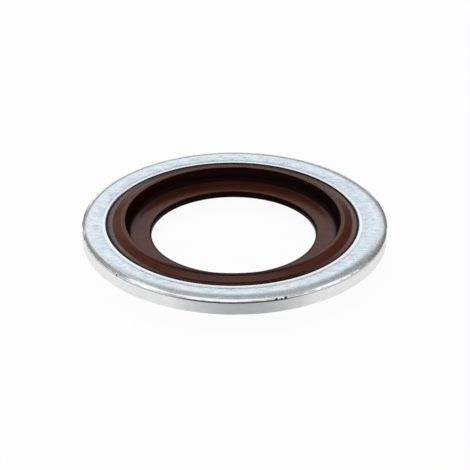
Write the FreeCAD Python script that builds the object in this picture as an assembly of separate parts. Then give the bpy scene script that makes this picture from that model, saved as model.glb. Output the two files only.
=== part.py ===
import FreeCAD, Part
import math
import os

# A flat sealing ring that centres itself on a screw thread: a blanked steel ring
# with a moulded rubber ring bonded in its bore. Millimetres. Z is the axis, and
# z = 0 is the plane through the crest of the lower rubber lip, on which the ring lies.

# Widths, from the hole in the middle outwards
thread_hole_diameter = 12.9
web_width = 1.92
lip_wall_run = 0.12
crest_width = 0.23
flank_width = 0.72
foot_width = 0.31
edge_gap_width = 0.19
steel_width = 2.06

# Heights
steel_thickness = 1.5
lip_height = 0.30
web_thickness = 0.56
web_drop = 0.35
foot_sink = 0.03
foot_fall = 0.07
joint_depth = 0.26

# Blanked outer edge of the steel, from its upper face down, and its bore edges
roll_width = 0.90
roll_depth = 0.30
land_height = 0.07
tear_step = 0.04
tear_height = 0.16
break_taper = 0.02
lower_edge_bevel = 0.06
bore_edge_bevel = 0.06

# Rounding and bevel of the rubber
foot_round = 0.30
web_fillet = 0.15
web_edge_bevel = 0.10

# Radii that follow from the widths
hole_radius = thread_hole_diameter / 2
web_outer_radius = hole_radius + web_width
crest_inner_radius = web_outer_radius + lip_wall_run
crest_outer_radius = crest_inner_radius + crest_width
foot_inner_radius = crest_outer_radius + flank_width
foot_outer_radius = foot_inner_radius + foot_width
bore_radius = foot_outer_radius + edge_gap_width
steel_outer_radius = bore_radius + steel_width

# Heights that follow from the thicknesses
steel_bottom = lip_height
steel_top = steel_bottom + steel_thickness
web_middle = (steel_bottom + steel_top) / 2 - web_drop
web_bottom = web_middle - web_thickness / 2
web_top = web_middle + web_thickness / 2


def at(radius, height):
    """A point of a half section, in the plane y = 0."""
    return FreeCAD.Vector(radius, 0, height)


def corner_arc(before, corner, after, radius):
    """The start, middle and end of an arc that rounds a corner of a section."""
    to_before = (before - corner).normalize()
    to_after = (after - corner).normalize()
    half_angle = to_before.getAngle(to_after) / 2
    reach = radius / math.tan(half_angle)
    to_centre = (to_before + to_after).normalize()
    depth = radius / math.sin(half_angle) - radius
    return corner + to_before * reach, corner + to_centre * depth, corner + to_after * reach


def rounded_path(corners):
    """Edges through a list of (point, rounding) pairs, whose two ends stay sharp."""
    edges = []
    pen = corners[0][0]
    for before, here, after in zip(corners, corners[1:], corners[2:]):
        if here[1] > 0:
            start, middle, end = corner_arc(before[0], here[0], after[0], here[1])
            edges.append(Part.LineSegment(pen, start).toShape())
            edges.append(Part.Arc(start, middle, end).toShape())
            pen = end
        else:
            edges.append(Part.LineSegment(pen, here[0]).toShape())
            pen = here[0]
    edges.append(Part.LineSegment(pen, corners[-1][0]).toShape())
    return edges


def turned(edges):
    """The solid that a closed half section sweeps round the axis."""
    section = Part.Face(Part.Wire(edges))
    return section.revolve(FreeCAD.Vector(0, 0, 0), FreeCAD.Vector(0, 0, 1), 360)


def roll_edge():
    """The upper edge that the blanking pulled down, an arc that leaves the face smoothly."""
    roll_radius = (roll_width ** 2 + roll_depth ** 2) / (2 * roll_depth)
    full_turn = math.asin(roll_width / roll_radius)
    roll_start = steel_outer_radius - roll_width

    def along(turn):
        return at(roll_start + roll_radius * math.sin(turn), steel_top - roll_radius * (1 - math.cos(turn)))

    return Part.Arc(along(0), along(full_turn / 2), along(full_turn)).toShape()


def steel_ring():
    """The blank: roll, burnished land, torn line and break outside, bevelled bore edges."""
    land_foot = steel_top - roll_depth - land_height
    break_radius = steel_outer_radius - tear_step
    foot_radius = break_radius - break_taper
    corners = [
        (at(steel_outer_radius, steel_top - roll_depth), 0),
        (at(steel_outer_radius, land_foot), 0),
        (at(break_radius, land_foot - tear_height), 0),
        (at(foot_radius, steel_bottom + lower_edge_bevel), 0),
        (at(foot_radius - lower_edge_bevel, steel_bottom), 0),
        (at(bore_radius + bore_edge_bevel, steel_bottom), 0),
        (at(bore_radius, steel_bottom + bore_edge_bevel), 0),
        (at(bore_radius, steel_top - bore_edge_bevel), 0),
        (at(bore_radius + bore_edge_bevel, steel_top), 0),
        (at(steel_outer_radius - roll_width, steel_top), 0),
    ]
    return turned(rounded_path(corners) + [roll_edge()])


def lip_side(side, steel_face, web_face):
    """One side of the rubber, from the bore to the hole; side is 1 above and -1 below."""
    foot_height = steel_face - side * foot_sink
    crest_height = steel_face + side * lip_height
    return [
        (at(bore_radius, steel_face - side * joint_depth), 0),
        (at(foot_outer_radius, foot_height - side * foot_fall), 0),
        (at(foot_inner_radius, foot_height), foot_round),
        (at(crest_outer_radius, crest_height), 0),
        (at(crest_inner_radius, crest_height), 0),
        (at(web_outer_radius, web_face), web_fillet),
        (at(hole_radius + web_edge_bevel, web_face), 0),
        (at(hole_radius, web_face - side * web_edge_bevel), 0),
    ]


def rubber_seal():
    """The moulded ring: a lip on each side of the steel and the thin centring web."""
    upper = lip_side(1, steel_top, web_top)
    lower = lip_side(-1, steel_bottom, web_bottom)
    return turned(rounded_path(upper + lower[::-1] + upper[:1]))


os.makedirs("parts", exist_ok=True)
steel_ring().exportStep("parts/steel_ring.step")
rubber_seal().exportStep("parts/rubber_seal.step")
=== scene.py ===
import math

import bmesh
import bpy
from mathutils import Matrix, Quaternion, Vector


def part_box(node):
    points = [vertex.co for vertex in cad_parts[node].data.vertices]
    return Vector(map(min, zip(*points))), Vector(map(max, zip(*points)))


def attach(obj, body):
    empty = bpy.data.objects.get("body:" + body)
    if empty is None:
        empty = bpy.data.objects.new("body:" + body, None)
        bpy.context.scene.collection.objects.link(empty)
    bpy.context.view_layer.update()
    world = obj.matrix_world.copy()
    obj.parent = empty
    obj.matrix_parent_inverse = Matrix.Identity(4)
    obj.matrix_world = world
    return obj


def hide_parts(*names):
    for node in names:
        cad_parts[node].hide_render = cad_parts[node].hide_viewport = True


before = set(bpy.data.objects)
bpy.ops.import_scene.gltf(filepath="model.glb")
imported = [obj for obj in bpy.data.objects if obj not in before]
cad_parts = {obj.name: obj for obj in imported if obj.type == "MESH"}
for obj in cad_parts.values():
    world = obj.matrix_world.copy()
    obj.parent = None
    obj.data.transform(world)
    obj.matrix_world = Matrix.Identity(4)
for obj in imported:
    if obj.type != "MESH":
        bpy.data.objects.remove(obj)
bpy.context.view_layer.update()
steelLow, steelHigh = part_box("steel_ring")
rubberLow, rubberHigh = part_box("rubber_seal")
mm = 0.001
roundingSegments = 5
mergeReach = 0.002              # mm
smoothAngle = 35                # degrees, above which an edge stays sharp
offCentre = -0.175              # the bore was punched slightly off the middle, mm along X
steelTop = steelHigh[2] / mm
steelBottom = steelLow[2] / mm
print("frame loaded: steel from", round(steelBottom, 3), "to", round(steelTop, 3), "mm")


# helpers that both rings use

def startEditing(obj):
    bpy.ops.object.select_all(action="DESELECT")
    obj.select_set(True)
    bpy.context.view_layer.objects.active = obj
    bpy.ops.object.mode_set(mode="EDIT")


def stopEditing():
    bpy.ops.object.mode_set(mode="OBJECT")


# how far along its two sides a corner's rounding starts
def roundingReach(before, corner, after, radius):
    toBefore = (Vector(before) - Vector(corner)).normalized()
    toAfter = (Vector(after) - Vector(corner)).normalized()
    return radius / math.tan(toBefore.angle(toAfter) / 2)


# draws a half section as one flat face in the x-z plane, from corners of (radius, height, rounding) in mm
def drawSection(name, corners):
    bpy.ops.object.select_all(action="DESELECT")
    first = corners[0]
    bpy.ops.mesh.primitive_plane_add(size=0.1 * mm, location=(first[0] * mm, 0, first[1] * mm))
    obj = bpy.context.object
    obj.name = name
    obj.data.name = name
    bpy.ops.object.transform_apply(location=True, rotation=True, scale=True)
    startEditing(obj)
    bpy.ops.mesh.select_all(action="SELECT")
    bpy.ops.mesh.merge(type="CENTER")
    pen = first
    for corner in corners[1:]:
        step = ((corner[0] - pen[0]) * mm, 0, (corner[1] - pen[1]) * mm)
        bpy.ops.mesh.extrude_region_move(TRANSFORM_OT_translate={"value": step})
        pen = corner
    bpy.ops.mesh.select_all(action="SELECT")
    bpy.ops.mesh.edge_face_add()
    total = len(corners)
    for index, corner in enumerate(corners):
        radius = corner[2]
        if radius == 0:
            continue
        before = corners[index - 1]
        after = corners[(index + 1) % total]
        reach = roundingReach(before[:2], corner[:2], after[:2], radius)
        bpy.ops.mesh.select_all(action="DESELECT")
        selectNear(obj, (corner[0], 0, corner[1]))
        bpy.ops.mesh.bevel(offset=reach * mm, segments=roundingSegments, affect="VERTICES",
                           clamp_overlap=True)
    return obj


# selects the vertex that is nearest to a place in mm
def selectNear(obj, place):
    mesh = bmesh.from_edit_mesh(obj.data)
    spot = Vector(place) * mm
    nearest = min(mesh.verts, key=lambda v: (v.co - spot).length)
    nearest.select = True
    mesh.select_flush_mode()
    bmesh.update_edit_mesh(obj.data)


# cuts the long sides of the section into short ones, so that the ring can be dented later
def divideLongSides(obj, longest):
    bpy.ops.mesh.select_all(action="SELECT")
    bpy.ops.mesh.delete(type="ONLY_FACE")
    mesh = bmesh.from_edit_mesh(obj.data)
    lengths = sorted({max(2, round(e.calc_length() / (longest * mm))) for e in mesh.edges})
    for cuts in lengths:
        mesh = bmesh.from_edit_mesh(obj.data)
        bpy.ops.mesh.select_all(action="DESELECT")
        found = [e for e in mesh.edges if round(e.calc_length() / (longest * mm)) == cuts]
        for edge in found:
            edge.select = True
        if found:
            mesh.select_flush_mode()
            bmesh.update_edit_mesh(obj.data)
            bpy.ops.mesh.subdivide(number_cuts=cuts - 1)


# turns the section's outline round the axis into a closed ring, with its faces outwards
def turnSection(obj, steps):
    stopEditing()
    turn = obj.modifiers.new("turn", "SCREW")
    turn.axis = "Z"
    turn.angle = 2 * math.pi
    turn.steps = steps
    turn.render_steps = steps
    turn.use_merge_vertices = True
    turn.merge_threshold = mergeReach * mm
    bpy.ops.object.modifier_apply(modifier="turn")
    startEditing(obj)
    bpy.ops.mesh.select_all(action="SELECT")
    bpy.ops.mesh.remove_doubles(threshold=mergeReach * mm)
    bpy.ops.mesh.normals_make_consistent(inside=False)
    stopEditing()
    bpy.ops.object.shade_smooth_by_angle(angle=math.radians(smoothAngle))


# 0 up to start, 1 from end on, and a smooth rise between them
def smoothRise(value, start, end):
    share = min(1, max(0, (value - start) / (end - start)))
    return share * share * (3 - 2 * share)


# 0 up to start, 1 from full to fade and 0 from end on, where the four are mm from a place
def smoothBand(value, place, spread):
    start, full, fade, end = spread
    rising = smoothRise(value, place + start, place + full)
    return rising * (1 - smoothRise(value, place + fade, place + end))


# pushes the piece along an axis, by step mm times the share that shareAt gives at a radius and a height;
# with waves, which are their size in mm, the push is uneven
def pushPart(obj, axis, step, shareAt, waves=0):
    group = obj.vertex_groups.new(name="pushed")
    for vert in obj.data.vertices:
        share = shareAt(math.hypot(vert.co.x, vert.co.y) / mm, vert.co.z / mm)
        if share > 0:
            group.add([vert.index], share, "REPLACE")
    push = obj.modifiers.new("push", "DISPLACE")
    push.direction = axis
    push.mid_level = 0
    push.strength = step * mm
    push.vertex_group = group.name
    if waves > 0:
        push.texture = bpy.data.textures.new("uneven", "CLOUDS")
        push.texture.noise_scale = waves * mm
        push.texture_coords = "LOCAL"
    bpy.ops.object.modifier_apply(modifier="push")
    obj.vertex_groups.clear()


# presses a small dent where the piece comes nearest to that place, all in mm
def pressDent(obj, place, reach, step):
    startEditing(obj)
    bpy.ops.mesh.select_all(action="DESELECT")
    selectNear(obj, place)
    bpy.ops.transform.translate(value=Vector(step) * mm, use_proportional_edit=True,
                                proportional_edit_falloff="SMOOTH", proportional_size=reach * mm)
    stopEditing()


# zinc-plated steel ring

steel = {
    "outerRadius": steelHigh[0] / mm,
    "boreRadius": 9.94,
    "rollWidth": 0.90,          # upper outer edge, pulled down by the blanking
    "rollDepth": 0.30,
    "rollPoints": 14,
    "rollSlide": -0.12,         # the roll is narrower on the left, where the punch sat closer
    "shoulderRound": 0.09,
    "landHeight": 0.03,         # burnished strip under the roll
    "tearStep": 0.04,
    "tearHeight": 0.16,
    "tearRound": 0.015,
    "breakTaper": 0.02,
    "lowerEdgeRound": 0.06,
    "boreBevel": 0.06,
    "boreEdgeRound": 0.05,
    "rimWidth": 0.26,           # bright rim that the rubber mould pressed flat
    "markWidth": 0.13,          # shallow groove round the rim
    "markDepth": 0.025,
    "markRound": 0.1,
    "markSlide": -0.15,         # the mould closed slightly off the middle, along Y
    "boreFade": (0.4, 1.15),    # from the bore, where its slide along X starts to fade and where it ends
    "markSpread": (0.08, 0.2, 0.5, 1.1),    # from the bore, where the groove slides
    "markRise": (-0.1, -0.05),              # from the upper face
    "rollSpread": (-1.3, -1.0, -0.7, -0.02),    # from the outside, where the roll slides
    "rollRise": (-0.4, -0.3),                   # from the upper face
    "tearUneven": 0.05,         # height of the waves in the torn line and the lower edge
    "tearWaves": 0.45,
    "tearRise": (-0.2, -0.1),   # from the outside
    "tearSpread": (-0.3, -0.1, 0, 0.08),    # from the foot of the land
    "edgeUneven": 0.05,
    "edgeWaves": 0.8,
    "edgeRise": (-0.3, -0.15),  # from the outside
    "edgeFade": (0.02, 0.3),    # from the lower face
    "nicks": [(3.23, 0.12), (3.64, 0.09), (3.96, 0.13), (-9.16, 0.09)],     # x and reach of each
    "nickDepth": 0.07,
    "nickDrop": 0.02,           # from the foot of the land
    "longestSide": 0.12,
    "turnSteps": 960,
}


def steelCorners():
    s = steel
    outer = s["outerRadius"]
    rollRadius = (s["rollWidth"] ** 2 + s["rollDepth"] ** 2) / (2 * s["rollDepth"])
    fullTurn = math.asin(s["rollWidth"] / rollRadius)
    rollStart = outer - s["rollWidth"]
    corners = []
    for step in range(s["rollPoints"]):
        turn = fullTurn * step / s["rollPoints"]
        across = rollStart + rollRadius * math.sin(turn)
        corners.append((across, steelTop - rollRadius * (1 - math.cos(turn)), 0))
    shoulder = steelTop - s["rollDepth"]
    landFoot = shoulder - s["landHeight"]
    breakTop = landFoot - s["tearHeight"]
    breakRadius = outer - s["tearStep"]
    bore = s["boreRadius"]
    bevel = s["boreBevel"]
    rimEdge = bore + s["rimWidth"]
    corners += [
        (outer, shoulder, s["shoulderRound"]),
        (outer, landFoot, s["tearRound"]),
        (breakRadius, breakTop, s["tearRound"]),
        (breakRadius - s["breakTaper"], steelBottom, s["lowerEdgeRound"]),
        (bore + bevel, steelBottom, s["boreEdgeRound"]),
        (bore, steelBottom + bevel, 0),
        (bore, steelTop - bevel, 0),
        (bore + bevel, steelTop, s["boreEdgeRound"]),
        (rimEdge, steelTop, 0),
        (rimEdge + s["markWidth"] / 2, steelTop - s["markDepth"], s["markRound"]),
        (rimEdge + s["markWidth"], steelTop, 0),
    ]
    return corners


def buildSteel():
    obj = drawSection("steelRing", steelCorners())
    divideLongSides(obj, steel["longestSide"])
    turnSection(obj, steel["turnSteps"])
    outer = steel["outerRadius"]
    bore = steel["boreRadius"]
    landFoot = steelTop - steel["rollDepth"] - steel["landHeight"]

    def rise(value, place, spread):
        return smoothRise(value, place + spread[0], place + spread[1])

    def nearBore(radius, height):
        return 1 - rise(radius, bore, steel["boreFade"])

    def onMark(radius, height):
        return smoothBand(radius, bore, steel["markSpread"]) * rise(height, steelTop, steel["markRise"])

    def onRoll(radius, height):
        return smoothBand(radius, outer, steel["rollSpread"]) * rise(height, steelTop, steel["rollRise"])

    def onTear(radius, height):
        return rise(radius, outer, steel["tearRise"]) * smoothBand(height, landFoot, steel["tearSpread"])

    def onLowerEdge(radius, height):
        return rise(radius, outer, steel["edgeRise"]) * (1 - rise(height, steelBottom, steel["edgeFade"]))

    pushPart(obj, "X", steel["rollSlide"], onRoll)
    pushPart(obj, "Y", steel["markSlide"], onMark)
    pushPart(obj, "X", offCentre, nearBore)
    pushPart(obj, "Z", steel["tearUneven"], onTear, steel["tearWaves"])
    pushPart(obj, "Z", steel["edgeUneven"], onLowerEdge, steel["edgeWaves"])
    for across, reach in steel["nicks"]:
        towards = -math.sqrt(outer ** 2 - across ** 2)
        inward = (-across / outer * steel["nickDepth"], -towards / outer * steel["nickDepth"], 0)
        pressDent(obj, (across, towards, landFoot - steel["nickDrop"]), reach, inward)
    return obj


# moulded rubber ring

rubber = {
    "holeRadius": 6.45,
    "webWidth": 1.86,
    "lipWallRun": 0.12,
    "crestWidth": 0.37,
    "flankWidth": 0.64,
    "footWidth": 0.31,
    "outerRadius": 9.94,
    "edgeDrop": 0.30,           # how far below the steel's face the rubber meets the bore
    "footSink": 0.03,
    "footFall": 0.07,           # the foot slopes down towards the steel
    "webBottom": 0.42,
    "webTop": 0.98,
    "footRound": 0.30,
    "webFillet": 0.55,
    "crestOuterRound": 0.20,
    "crestInnerRound": 0.13,
    "footEdgeRound": 0.05,
    "webEdge": 0.13,
    "webEdgeRound": 0.16,
    "edgeUneven": 0.14,         # height of the waves where the rubber ends on the steel
    "edgeWaves": 0.35,
    "edgeWidth": 0.3,
    "edgeRise": (1.2, 1.4),     # heights between which the waves start
    "holeSlide": 0.45,          # share of the bore's sideways slide that the hole follows
    "longestSide": 0.15,
    "turnSteps": 800,
}


def lipSide(side, steelFace, crest, webFace):
    r = rubber
    webOuter = r["holeRadius"] + r["webWidth"]
    crestInner = webOuter + r["lipWallRun"]
    crestOuter = crestInner + r["crestWidth"]
    footInner = crestOuter + r["flankWidth"]
    footOuter = footInner + r["footWidth"]
    footInnerHeight = steelFace - side * r["footSink"]
    footOuterHeight = footInnerHeight - side * r["footFall"]
    return [
        (r["outerRadius"], steelFace - side * r["edgeDrop"], 0),
        (footOuter, footOuterHeight, r["footEdgeRound"]),
        (footInner, footInnerHeight, r["footRound"]),
        (crestOuter, crest, r["crestOuterRound"]),
        (crestInner, crest, r["crestInnerRound"]),
        (webOuter, webFace, r["webFillet"]),
        (r["holeRadius"] + r["webEdge"], webFace, r["webEdgeRound"]),
        (r["holeRadius"], webFace - side * r["webEdge"], r["webEdgeRound"]),
    ]


def buildRubber():
    upper = lipSide(1, steelTop, rubberHigh[2] / mm, rubber["webTop"])
    lower = lipSide(-1, steelBottom, rubberLow[2] / mm, rubber["webBottom"])
    obj = drawSection("rubberSeal", upper + lower[::-1])
    divideLongSides(obj, rubber["longestSide"])
    turnSection(obj, rubber["turnSteps"])
    hole = rubber["holeRadius"]
    outer = rubber["outerRadius"]
    least = rubber["holeSlide"]

    def everywhere(radius, height):
        return least + (1 - least) * min(1, (radius - hole) / (outer - hole))

    def onEdge(radius, height):
        nearSteel = smoothRise(radius, outer - rubber["edgeWidth"], outer)
        return nearSteel * smoothRise(height, *rubber["edgeRise"])

    pushPart(obj, "X", offCentre, everywhere)
    pushPart(obj, "Z", rubber["edgeUneven"], onEdge, rubber["edgeWaves"])
    return obj


steelRing = buildSteel()
print("steel ring", len(steelRing.data.polygons), "faces")
rubberSeal = buildRubber()
print("rubber seal", len(rubberSeal.data.polygons), "faces")


# materials

noiseLow = 0.3                  # nearly all of a noise lies between these two
noiseHigh = 0.7
noiseRough = 0.55


def newMaterial(name):
    material = bpy.data.materials.new(name)
    material.use_nodes = True
    return material, material.node_tree.nodes, material.node_tree.links


# a noise that reads the piece's own coordinates, with blotches of the given size in mm
def addNoise(nodes, links, size, detail=3, stretch=(1, 1, 1)):
    place = nodes.new("ShaderNodeTexCoord")
    shape = nodes.new("ShaderNodeMapping")
    shape.inputs["Scale"].default_value = stretch
    noise = nodes.new("ShaderNodeTexNoise")
    noise.inputs["Scale"].default_value = 1 / (size * mm)
    noise.inputs["Detail"].default_value = detail
    noise.inputs["Roughness"].default_value = noiseRough
    links.new(place.outputs["Object"], shape.inputs["Vector"])
    links.new(shape.outputs["Vector"], noise.inputs["Vector"])
    return noise.outputs["Fac"]


def grayOf(level):
    return (level, level, level, 1)


def addRamp(nodes, links, source, stops):
    ramp = nodes.new("ShaderNodeValToRGB")
    ramp.color_ramp.elements[0].position = stops[0][0]
    ramp.color_ramp.elements[0].color = stops[0][1]
    ramp.color_ramp.elements[1].position = stops[-1][0]
    ramp.color_ramp.elements[1].color = stops[-1][1]
    for place, color in stops[1:-1]:
        ramp.color_ramp.elements.new(place).color = color
    links.new(source, ramp.inputs["Fac"])
    return ramp.outputs["Color"]


# a share that goes from 0 to most while the source goes from start to end
def addShare(nodes, links, source, start, end, most=1.0):
    share = nodes.new("ShaderNodeMapRange")
    share.inputs["From Min"].default_value = start
    share.inputs["From Max"].default_value = end
    share.inputs["To Max"].default_value = most
    links.new(source, share.inputs["Value"])
    return share.outputs["Result"]


# the way from an upright axis that stands slide mm along X, in metres
def addOutward(nodes, links, slide=0):
    place = nodes.new("ShaderNodeTexCoord")
    centred = nodes.new("ShaderNodeVectorMath")
    centred.operation = "SUBTRACT"
    centred.inputs[1].default_value = (slide * mm, 0, 0)
    flatten = nodes.new("ShaderNodeVectorMath")
    flatten.operation = "MULTIPLY"
    flatten.inputs[1].default_value = (1, 1, 0)
    links.new(place.outputs["Object"], centred.inputs[0])
    links.new(centred.outputs["Vector"], flatten.inputs[0])
    return flatten.outputs["Vector"]


# distance from that axis, in metres
def addRadius(nodes, links, slide=0):
    reach = nodes.new("ShaderNodeVectorMath")
    reach.operation = "LENGTH"
    links.new(addOutward(nodes, links, slide), reach.inputs[0])
    return reach.outputs["Value"]


# how far a face leans outwards from the axis, from -1 towards the hole to 1 away from it
def addLean(nodes, links):
    facing = nodes.new("ShaderNodeNewGeometry")
    outward = nodes.new("ShaderNodeVectorMath")
    outward.operation = "NORMALIZE"
    lean = nodes.new("ShaderNodeVectorMath")
    lean.operation = "DOT_PRODUCT"
    links.new(addOutward(nodes, links), outward.inputs[0])
    links.new(outward.outputs["Vector"], lean.inputs[0])
    links.new(facing.outputs["Normal"], lean.inputs[1])
    return lean.outputs["Value"]


# place along Y in metres, after the piece's coordinates are turned by that many degrees
def addAlong(nodes, links, turn=0):
    place = nodes.new("ShaderNodeTexCoord")
    turned = nodes.new("ShaderNodeMapping")
    turned.inputs["Rotation"].default_value = (0, 0, math.radians(turn))
    parts = nodes.new("ShaderNodeSeparateXYZ")
    links.new(place.outputs["Object"], turned.inputs["Vector"])
    links.new(turned.outputs["Vector"], parts.inputs["Vector"])
    return parts.outputs["Y"]


# a share that goes from 0 to 1 between two places along Y, in mm; the front is at the negative end
def addAlongSide(nodes, links, start, end, turn=0):
    return addShare(nodes, links, addAlong(nodes, links, turn), start * mm, end * mm)


def addMix(nodes, links, kind, amount, first, second):
    mix = nodes.new("ShaderNodeMix")
    mix.data_type = "RGBA"
    mix.blend_type = kind
    mix.inputs["Factor"].default_value = amount
    links.new(first, mix.inputs["A"])
    links.new(second, mix.inputs["B"])
    return mix.outputs["Result"]


def addMath(nodes, links, operation, first, second):
    result = nodes.new("ShaderNodeMath")
    result.operation = operation
    links.new(first, result.inputs[0])
    links.new(second, result.inputs[1])
    return result.outputs[0]


# the source times a plain number
def addScaled(nodes, links, source, factor):
    result = nodes.new("ShaderNodeMath")
    result.operation = "MULTIPLY"
    result.inputs[1].default_value = factor
    links.new(source, result.inputs[0])
    return result.outputs[0]


# a noise spread out between two values
def addRange(nodes, links, source, low, high):
    spread = nodes.new("ShaderNodeMapRange")
    spread.inputs["From Min"].default_value = noiseLow
    spread.inputs["From Max"].default_value = noiseHigh
    spread.inputs["To Min"].default_value = low
    spread.inputs["To Max"].default_value = high
    links.new(source, spread.inputs["Value"])
    return spread.outputs["Result"]


# bumps of that depth in mm
def addBump(nodes, links, source, depth, after=None):
    bump = nodes.new("ShaderNodeBump")
    bump.inputs["Distance"].default_value = depth * mm
    bump.inputs["Strength"].default_value = 1
    links.new(source, bump.inputs["Height"])
    if after:
        links.new(after, bump.inputs["Normal"])
    return bump.outputs["Normal"]


# metal of one plain colour
def plainMetal(name, finish):
    material, nodes, links = newMaterial(name)
    shader = nodes["Principled BSDF"]
    shader.inputs["Metallic"].default_value = 1
    shader.inputs["Base Color"].default_value = finish["color"]
    shader.inputs["Roughness"].default_value = finish["roughness"]
    return material


zinc = {
    "dark": (0.53, 0.62, 0.69, 1),
    "middle": (0.75, 0.84, 0.92, 1),
    "light": (0.93, 0.98, 1.0, 1),
    "darkAt": 0.36,                     # places in the mottle's range
    "middleAt": 0.48,
    "lightAt": 0.62,
    "inner": (0.92, 0.92, 0.93, 1),     # duller towards the rubber
    "innerRadius": 10.4,
    "outerRadius": 11.0,
    "violet": (0.98, 0.95, 1.0, 1),
    "cyan": (0.94, 1.0, 0.99, 1),
    "violetAt": 0.38,
    "cyanAt": 0.62,
    "blotch": 0.42,                     # sizes of the mottle in mm
    "blotchStretch": (0.7, 1.3, 1),
    "grain": 0.13,
    "grainShare": 0.4,
    "tint": 1.2,
    "rolled": (0.8, 0.87, 0.9, 1),      # calmer where the roll stretched it
    "rolledShare": 0.6,
    "rollStart": 11.0,
    "rollFull": 11.45,
    "smoothest": 0.2,
    "roughest": 0.3,
    "blotchDepth": 0.006,
    "grainDepth": 0.002,
}


# bright plating, finely mottled, with a weak blue to violet play of colour
def zincMaterial():
    z = zinc
    material, nodes, links = newMaterial("zincPlate")
    shader = nodes["Principled BSDF"]
    shader.inputs["Metallic"].default_value = 1
    blotch = addNoise(nodes, links, z["blotch"], stretch=z["blotchStretch"])
    grain = addNoise(nodes, links, z["grain"], detail=2)
    tint = addNoise(nodes, links, z["tint"], detail=2)
    mottle = addMix(nodes, links, "MIX", z["grainShare"], blotch, grain)
    shades = [(z["darkAt"], z["dark"]), (z["middleAt"], z["middle"]), (z["lightAt"], z["light"])]
    plain = addRamp(nodes, links, mottle, shades)
    hue = addRamp(nodes, links, tint, [(z["violetAt"], z["violet"]), (z["cyanAt"], z["cyan"])])
    tinted = addMix(nodes, links, "MULTIPLY", 1.0, plain, hue)
    radius = addRadius(nodes, links)
    outward = addShare(nodes, links, radius, z["innerRadius"] * mm, z["outerRadius"] * mm)
    dulling = addRamp(nodes, links, outward, [(0, z["inner"]), (1, grayOf(1))])
    dulled = addMix(nodes, links, "MULTIPLY", 1.0, tinted, dulling)
    onRoll = addShare(nodes, links, radius, z["rollStart"] * mm, z["rollFull"] * mm, z["rolledShare"])
    calmer = nodes.new("ShaderNodeMix")
    calmer.data_type = "RGBA"
    calmer.inputs["B"].default_value = z["rolled"]
    links.new(onRoll, calmer.inputs["Factor"])
    links.new(dulled, calmer.inputs["A"])
    links.new(calmer.outputs["Result"], shader.inputs["Base Color"])
    rough = addRange(nodes, links, grain, z["smoothest"], z["roughest"])
    links.new(rough, shader.inputs["Roughness"])
    waves = addBump(nodes, links, blotch, z["blotchDepth"])
    pits = addBump(nodes, links, grain, z["grainDepth"], after=waves)
    links.new(pits, shader.inputs["Normal"])
    return material


# bright rim beside the rubber
rim = {
    "color": (0.93, 0.96, 0.99, 1),
    "roughness": 0.24,
}

# strip that the blanking die rubbed bright
land = {
    "color": (0.97, 0.99, 1.0, 1),
    "roughness": 0.13,
}

# bottom of a nick, bare metal painted near black as painted shade in the dent
nick = {
    "color": (0.07, 0.08, 0.08, 1),
    "roughness": 0.6,
}

tear = {
    "dark": (0.1, 0.108, 0.115, 1),     # painted shade at the front of the tear
    "light": (0.64, 0.66, 0.67, 1),
    "frontEnd": -11.7,                  # mm along Y
    "sideStart": -10.6,
    "roughness": 0.6,
}


# torn line under the land, dull, painted darker at its front as painted shade
def tearMaterial():
    material, nodes, links = newMaterial("tornLine")
    shader = nodes["Principled BSDF"]
    shader.inputs["Metallic"].default_value = 1
    # painted shade: the tear darkens towards the front
    along = addAlongSide(nodes, links, tear["frontEnd"], tear["sideStart"])
    color = addRamp(nodes, links, along, [(0, tear["dark"]), (1, tear["light"])])
    links.new(color, shader.inputs["Base Color"])
    shader.inputs["Roughness"].default_value = tear["roughness"]
    return material


breakFace = {
    "dark": (0.93, 0.93, 0.93, 1),
    "light": (1.0, 1.0, 1.0, 1),
    "blotch": 0.6,                      # mm
    "blotchStretch": (1, 1, 2),
    "frontShade": (0.555, 0.58, 0.59, 1),    # painted shade: the side is darker at the front
    "side": (1.0, 1.0, 1.0, 1),
    "frontEnd": -12.0,                  # mm along Y
    "sideStart": -10.5,
    "frontTurn": -4,                    # degrees; the painted shade lies slightly to the right
    "roughness": 0.45,
}


# broken lower part of the side, matt, with painted shade at its front
def breakMaterial():
    material, nodes, links = newMaterial("breakFace")
    shader = nodes["Principled BSDF"]
    shader.inputs["Metallic"].default_value = 1
    b = breakFace
    blotch = addNoise(nodes, links, b["blotch"], stretch=b["blotchStretch"])
    mottle = addRamp(nodes, links, blotch, [(noiseLow, b["dark"]), (noiseHigh, b["light"])])
    along = addAlongSide(nodes, links, b["frontEnd"], b["sideStart"], b["frontTurn"])
    # painted shade: the front of the side is darker than its two sides
    plain = addRamp(nodes, links, along, [(0, b["frontShade"]), (1, b["side"])])
    color = addMix(nodes, links, "MULTIPLY", 1.0, plain, mottle)
    links.new(color, shader.inputs["Base Color"])
    shader.inputs["Roughness"].default_value = b["roughness"]
    return material


brown = {
    "dark": (0.095, 0.024, 0.014, 1),
    "light": (0.125, 0.034, 0.02, 1),
    "blotch": 1.2,                      # mm
    "wallShade": (0.075, 0.05, 0.04, 1),     # painted shade: faces that lean towards the hole are darkened; they also have no bloom
    "wallLean": -0.6,                   # their lean, where -1 is a wall round the hole and 0 a flat
    "bloomAndLitLean": -0.1,
    "wallSheen": 0.03,
    "sheen": 0.17,
    "flankStart": 0.1,                  # the flanks outside the crests are duller
    "flankLean": 0.3,
    "flankSheen": 0.06,
    "shade": (0.3, 0.3, 0.3, 1),        # the crest and the web lie in the shade at the front
    "shadeRadius": 8.88,                # it ends just outside the crest, mm
    "shadeFade": 0.04,
    "shadeEnd": -5.0,                   # mm along Y
    "shadeStart": -8.3,
    "shadeSheen": 0.25,
    "edgeReach": 0.32,                  # the rounded edge of the hole, mm from the hole
    "edgeFull": 0.2,
    "edgeShadeEnd": -0.8,
    "edgeShadeStart": -2.6,
    "paintedSheen": (0.045, 0.042, 0.04, 1),    # painted sheen: pale gray added on the front of the flank
    "paintedSheenEnd": -7.2,                    # mm along Y
    "paintedSheenStart": -9.0,
    "roughness": 0.22,
}


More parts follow.
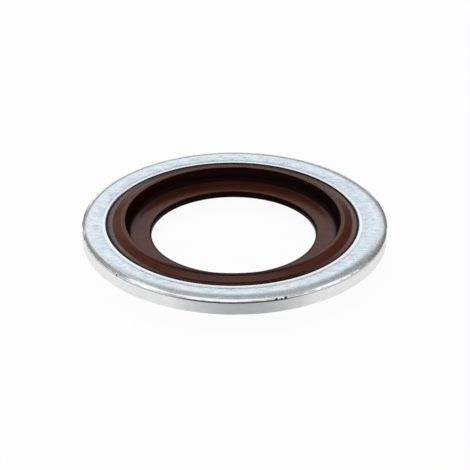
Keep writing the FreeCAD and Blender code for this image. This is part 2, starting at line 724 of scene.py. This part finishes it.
# how much of the shade lies on the front of the crest and of the hole's edge
def addRubberShade(nodes, links):
    b = brown
    radius = addRadius(nodes, links, offCentre)
    crestEnd = b["shadeRadius"]
    onCrest = addShare(nodes, links, radius, (crestEnd + b["shadeFade"]) * mm, crestEnd * mm)
    nearness = addAlongSide(nodes, links, b["shadeEnd"], b["shadeStart"])
    crestShade = addMath(nodes, links, "MULTIPLY", onCrest, nearness)
    edgeRadius = addRadius(nodes, links, offCentre * rubber["holeSlide"])
    hole = rubber["holeRadius"]
    onEdge = addShare(nodes, links, edgeRadius, (hole + b["edgeReach"]) * mm, (hole + b["edgeFull"]) * mm)
    edgeNearness = addAlongSide(nodes, links, b["edgeShadeEnd"], b["edgeShadeStart"])
    edgeShade = addMath(nodes, links, "MULTIPLY", onEdge, edgeNearness)
    return addMath(nodes, links, "MAXIMUM", crestShade, edgeShade)


# moulded brown rubber, with a bloom on its flats, painted shade on its walls and a painted sheen on the
# near flank
def rubberMaterial():
    b = brown
    material, nodes, links = newMaterial("brownRubber")
    shader = nodes["Principled BSDF"]
    blotch = addNoise(nodes, links, b["blotch"])
    plain = addRamp(nodes, links, blotch, [(noiseLow, b["dark"]), (noiseHigh, b["light"])])
    lean = addLean(nodes, links)
    bloomAndLitShare = addShare(nodes, links, lean, b["wallLean"], b["bloomAndLitLean"])
    # painted shade darkens the walls that lean towards the hole
    wallShaded = addRamp(nodes, links, bloomAndLitShare, [(0, b["wallShade"]), (1, grayOf(1))])
    color = addMix(nodes, links, "MULTIPLY", 1.0, plain, wallShaded)
    onFlank = addShare(nodes, links, lean, b["flankStart"], b["flankLean"])
    # painted sheen: pale gray added to the flank at the front
    frontness = addAlongSide(nodes, links, b["paintedSheenEnd"], b["paintedSheenStart"])
    paintedSheenShare = addMath(nodes, links, "MULTIPLY", onFlank, frontness)
    paintedSheen = addRamp(nodes, links, paintedSheenShare, [(0, grayOf(0)), (1, b["paintedSheen"])])
    sheenPainted = addMix(nodes, links, "ADD", 1.0, color, paintedSheen)
    shadeShare = addRubberShade(nodes, links)
    shading = addRamp(nodes, links, shadeShare, [(0, grayOf(1)), (1, b["shade"])])
    shaded = addMix(nodes, links, "MULTIPLY", 1.0, sheenPainted, shading)
    links.new(shaded, shader.inputs["Base Color"])
    sheen = addRamp(nodes, links, bloomAndLitShare, [(0, grayOf(b["wallSheen"])), (1, grayOf(b["sheen"]))])
    flankShare = b["flankSheen"] / b["sheen"]
    duller = addRamp(nodes, links, onFlank, [(0, grayOf(1)), (1, grayOf(flankShare))])
    level = addMath(nodes, links, "MULTIPLY", sheen, duller)
    dimmer = addRamp(nodes, links, shadeShare, [(0, grayOf(1)), (1, grayOf(b["shadeSheen"]))])
    dimmed = addMath(nodes, links, "MULTIPLY", level, dimmer)
    links.new(dimmed, shader.inputs["Specular IOR Level"])
    shader.inputs["Roughness"].default_value = b["roughness"]
    return material


foot = {
    "color": (0.036, 0.015, 0.011, 1),
    "sheen": 0.07,
    "paintedSideLight": (0.115, 0.05, 0.04, 1),    # painted light: paler at the two sides, with more sheen
    "sideSheen": 0.45,
    "sideEnd": 8.3,                     # mm from the middle, along Y
    "sideFull": 4.5,
    "roughness": 0.25,
}


# smooth foot of the rubber, where the mould closed on the steel, painted darker at front and rear and
# paler at the sides as painted light and shade
def footMaterial():
    material, nodes, links = newMaterial("rubberFoot")
    shader = nodes["Principled BSDF"]
    away = nodes.new("ShaderNodeMath")
    away.operation = "ABSOLUTE"
    links.new(addAlong(nodes, links), away.inputs[0])
    atSide = addShare(nodes, links, away.outputs[0], foot["sideEnd"] * mm, foot["sideFull"] * mm)
    # painted light and shade: darker at the front and rear, paler at the two sides
    color = addRamp(nodes, links, atSide, [(0, foot["color"]), (1, foot["paintedSideLight"])])
    sheen = addRamp(nodes, links, atSide, [(0, grayOf(foot["sheen"])), (1, grayOf(foot["sideSheen"]))])
    links.new(color, shader.inputs["Base Color"])
    links.new(sheen, shader.inputs["Specular IOR Level"])
    shader.inputs["Roughness"].default_value = foot["roughness"]
    return material


bond = {
    "color": (0.045, 0.04, 0.037, 1),
    "sheen": 0.2,
    "roughness": 0.7,
}


# dark bonding agent in the joint between rubber and steel
def bondMaterial():
    material, nodes, links = newMaterial("bondLine")
    shader = nodes["Principled BSDF"]
    shader.inputs["Base Color"].default_value = bond["color"]
    shader.inputs["Roughness"].default_value = bond["roughness"]
    shader.inputs["Specular IOR Level"].default_value = bond["sheen"]
    return material


# where each finish lies, all in mm
finishes = {
    "beyond": 99,               # past everything
    "seam": 0.01,               # slack between two finishes on the side
    "sideDepth": 0.2,           # how deep under the outside a face of the side lies at most
    "landRise": 0.13,           # how far the bright land reaches up from the shoulder
    "nickBelow": 0.12,          # from the foot of the land
    "nickAbove": 0.09,
    "rimDepth": 0.1,            # from the upper face
    "rimGap": 0.02,
    "footInside": 0.52,         # from the bore of the steel
    "bondInside": 0.16,
}


# gives a material to the faces whose middle lies in that range of radius and height
def paintRange(obj, material, radii, heights, centre=(0, 0)):
    obj.data.materials.append(material)
    slot = len(obj.data.materials) - 1
    for face in obj.data.polygons:
        radius = math.hypot(face.center[0] / mm - centre[0], face.center[1] / mm - centre[1])
        height = face.center[2] / mm
        if radii[0] < radius < radii[1] and heights[0] < height < heights[1]:
            face.material_index = slot


def paintSteel():
    f = finishes
    outer = steel["outerRadius"]
    shoulderHeight = steelTop - steel["rollDepth"]
    landFoot = shoulderHeight - steel["landHeight"]
    landEnd = landFoot - f["seam"]
    tearEnd = landFoot - steel["tearHeight"] - f["seam"]
    side = (outer - f["sideDepth"], f["beyond"])
    landHeights = (landEnd, shoulderHeight + f["landRise"])
    steelRing.data.materials.append(zincMaterial())
    paintRange(steelRing, plainMetal("burnishedLand", land), side, landHeights)
    paintRange(steelRing, tearMaterial(), side, (tearEnd, landEnd))
    paintRange(steelRing, breakMaterial(), side, (steelBottom, tearEnd))
    # painted shade: the nicks' dents are painted near black
    nickShadedBottom = plainMetal("nickShadedBottom", nick)
    nickHeights = (landFoot - f["nickBelow"], landFoot + f["nickAbove"])
    for across, reach in steel["nicks"]:
        along = -math.sqrt(outer ** 2 - across ** 2)
        paintRange(steelRing, nickShadedBottom, (0, reach), nickHeights, (across, along))
    rimEnd = steel["boreRadius"] + steel["rimWidth"] - f["rimGap"]
    rimHeights = (steelTop - f["rimDepth"], f["beyond"])
    rimCentre = (offCentre, steel["markSlide"])
    paintRange(steelRing, plainMetal("pressedRim", rim), (0, rimEnd), rimHeights, rimCentre)


def paintRubber():
    f = finishes
    bore = steel["boreRadius"]
    footRadii = (bore - f["footInside"], f["beyond"])
    bondRadii = (bore - f["bondInside"], f["beyond"])
    rubberSeal.data.materials.append(rubberMaterial())
    paintRange(rubberSeal, footMaterial(), footRadii, (0, f["beyond"]), (offCentre, 0))
    paintRange(rubberSeal, bondMaterial(), bondRadii, (steelBottom, steelTop), (offCentre, 0))


paintSteel()
paintRubber()
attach(steelRing, "root")
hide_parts("steel_ring")
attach(rubberSeal, "root")
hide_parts("rubber_seal")
print("materials done")


# white table, white surroundings and the cards that shape the reflections

table = {
    "size": 4.0,
    "color": (0.93, 0.93, 0.93, 1),
    "roughness": 0.9,
    "sheen": 0.1,
    "shadowShare": 0.05,        # how much of the real shadow the camera sees
    "mirroredShare": 0.3,       # and how much of it the metal mirrors
}


def whiteTable():
    bpy.ops.object.select_all(action="DESELECT")
    bpy.ops.mesh.primitive_plane_add(size=table["size"], location=(0, 0, 0))
    floor = bpy.context.object
    floor.name = "tableTop"
    material, nodes, links = newMaterial("tableWhite")
    shader = nodes["Principled BSDF"]
    shader.inputs["Base Color"].default_value = table["color"]
    shader.inputs["Roughness"].default_value = table["roughness"]
    shader.inputs["Specular IOR Level"].default_value = table["sheen"]
    glow = nodes.new("ShaderNodeEmission")
    glow.inputs["Color"].default_value = (1, 1, 1, 1)
    path = nodes.new("ShaderNodeLightPath")
    direct = addScaled(nodes, links, path.outputs["Is Camera Ray"], 1 - table["shadowShare"])
    mirrored = addScaled(nodes, links, path.outputs["Is Glossy Ray"], 1 - table["mirroredShare"])
    white = addMath(nodes, links, "MAXIMUM", direct, mirrored)
    blend = nodes.new("ShaderNodeMixShader")
    links.new(white, blend.inputs["Fac"])
    links.new(shader.outputs["BSDF"], blend.inputs[1])
    links.new(glow.outputs["Emission"], blend.inputs[2])
    links.new(blend.outputs["Shader"], nodes["Material Output"].inputs["Surface"])
    floor.data.materials.append(material)


surroundings = {
    "level": 0.14,              # light that the white room gives the object
}


def whiteRoom():
    world = bpy.data.worlds.new("whiteRoom")
    bpy.context.scene.world = world
    world.use_nodes = True
    nodes = world.node_tree.nodes
    links = world.node_tree.links
    base = nodes["Background"]
    base.inputs["Color"].default_value = (1, 1, 1, 1)
    base.inputs["Strength"].default_value = surroundings["level"]
    seen = nodes.new("ShaderNodeBackground")
    seen.inputs["Color"].default_value = (1, 1, 1, 1)
    seen.inputs["Strength"].default_value = 1
    path = nodes.new("ShaderNodeLightPath")
    direct = path.outputs["Is Camera Ray"]
    mirrored = path.outputs["Is Glossy Ray"]
    through = path.outputs["Is Transmission Ray"]
    white = addMath(nodes, links, "MAXIMUM", addMath(nodes, links, "MAXIMUM", direct, mirrored), through)
    blend = nodes.new("ShaderNodeMixShader")
    links.new(white, blend.inputs["Fac"])
    links.new(base.outputs["Background"], blend.inputs[1])
    links.new(seen.outputs["Background"], blend.inputs[2])
    links.new(blend.outputs["Shader"], nodes["World Output"].inputs["Surface"])


# each card faces the ring from its azimuth and elevation; all but the gray are in degrees
cards = {
    "ceilingCard": {"azimuth": 0, "elevation": 69, "wide": 48, "high": 36, "gray": 0.42},
    "leftWing": {"azimuth": -49.5, "elevation": 40, "wide": 13, "high": 28, "lean": 27, "gray": 0.26},
    "leftLowWing": {"azimuth": -41.5, "elevation": 21, "wide": 13, "high": 17, "lean": 36, "gray": 0.25},
    "rightWing": {"azimuth": 33, "elevation": 45, "wide": 24, "high": 18, "gray": 0.28},
    "rightLowWing": {"azimuth": 42, "elevation": 29, "wide": 28, "high": 18, "gray": 0.2},
    "upperBackCard": {"azimuth": 0, "elevation": 45, "wide": 36, "high": 13, "gray": 0.75},
    "backLeftCard": {"azimuth": -50, "elevation": 4, "wide": 80, "high": 21, "gray": 0.28},
    "backRightCard": {"azimuth": 56, "elevation": 5, "wide": 80, "high": 34, "gray": 0.2},
    "backLowCard": {"azimuth": 0, "elevation": 4, "wide": 50, "high": 22, "gray": 0.2},
    "frontCard": {"azimuth": 180, "elevation": 12, "wide": 90, "high": 28, "gray": 0.12},
}
cardDistance = 0.5              # metres


def addCard(name, card):
    azimuth = math.radians(card["azimuth"])
    elevation = math.radians(card["elevation"])
    away = Vector((math.sin(azimuth) * math.cos(elevation), math.cos(azimuth) * math.cos(elevation),
                   math.sin(elevation)))
    width = 2 * cardDistance * math.tan(math.radians(card["wide"] / 2))
    height = 2 * cardDistance * math.tan(math.radians(card["high"] / 2))
    bpy.ops.object.select_all(action="DESELECT")
    bpy.ops.mesh.primitive_plane_add(size=1, location=away * cardDistance)
    obj = bpy.context.object
    obj.name = name
    obj.rotation_mode = "QUATERNION"
    lean = Quaternion((0, 0, 1), math.radians(card.get("lean", 0)))     # tips its top to the left
    obj.rotation_quaternion = (-away).to_track_quat("Z", "Y") @ lean
    obj.scale = (width, height, 1)
    obj.visible_camera = False
    material, nodes, links = newMaterial(name)
    glow = nodes.new("ShaderNodeEmission")
    glow.inputs["Color"].default_value = grayOf(card["gray"])
    links.new(glow.outputs["Emission"], nodes["Material Output"].inputs["Surface"])
    obj.data.materials.append(material)


# elevation goes from 0 at the far side over the top to 180 at the near side; degrees, mm and watts
softboxes = {
    "backSoftbox": {"elevation": 44, "distance": 550, "width": 600, "height": 400, "watts": 5.6},
    "frontSoftbox": {"elevation": 172, "distance": 450, "width": 300, "height": 60, "watts": 0.9},
}


def addSoftbox(name, box):
    data = bpy.data.lights.new(name, "AREA")
    data.shape = "RECTANGLE"
    data.size = box["width"] * mm
    data.size_y = box["height"] * mm
    data.energy = box["watts"]
    lamp = bpy.data.objects.new(name, data)
    bpy.context.scene.collection.objects.link(lamp)
    tilt = math.radians(box["elevation"])
    away = Vector((0, math.cos(tilt), math.sin(tilt)))
    lamp.location = away * box["distance"] * mm
    lamp.rotation_mode = "QUATERNION"
    lamp.rotation_quaternion = away.to_track_quat("Z", "Y")
    lamp.visible_camera = False
    lamp.visible_glossy = False


whiteTable()
whiteRoom()
for boxName, boxSettings in softboxes.items():
    addSoftbox(boxName, boxSettings)
for cardName, cardSettings in cards.items():
    addCard(cardName, cardSettings)
print("table, room and cards done")


# camera

lens = {
    "elevation": 29.35,         # degrees above the table
    "distance": 600,            # mm from the ring
    "near": 0.01,               # metres
    "far": 10,
    "pixelsPerMm": 12.735,
    "imageWidth": 470,
    "ringAcross": 234.6,        # pixel of the middle of the steel's upper face
    "ringDown": 222.75,
}


def addCamera():
    data = bpy.data.cameras.new("studioCamera")
    camera = bpy.data.objects.new("studioCamera", data)
    bpy.context.scene.collection.objects.link(camera)
    tilt = math.radians(lens["elevation"])
    back = Vector((0, -math.cos(tilt), math.sin(tilt)))
    up = Vector((0, math.sin(tilt), math.cos(tilt)))
    right = Vector((1, 0, 0))
    middle = lens["imageWidth"] / 2
    across = (middle - lens["ringAcross"]) / lens["pixelsPerMm"]
    down = (middle - lens["ringDown"]) / lens["pixelsPerMm"]
    aim = Vector((0, 0, steelTop)) + right * across - up * down
    camera.location = (aim + back * lens["distance"]) * mm
    camera.rotation_mode = "QUATERNION"
    camera.rotation_quaternion = back.to_track_quat("Z", "Y")
    data.lens = data.sensor_width * lens["distance"] * lens["pixelsPerMm"] / lens["imageWidth"]
    data.clip_start = lens["near"]
    data.clip_end = lens["far"]
    bpy.context.scene.camera = camera


addCamera()
bpy.context.scene.view_settings.view_transform = "Standard"
print("camera done")
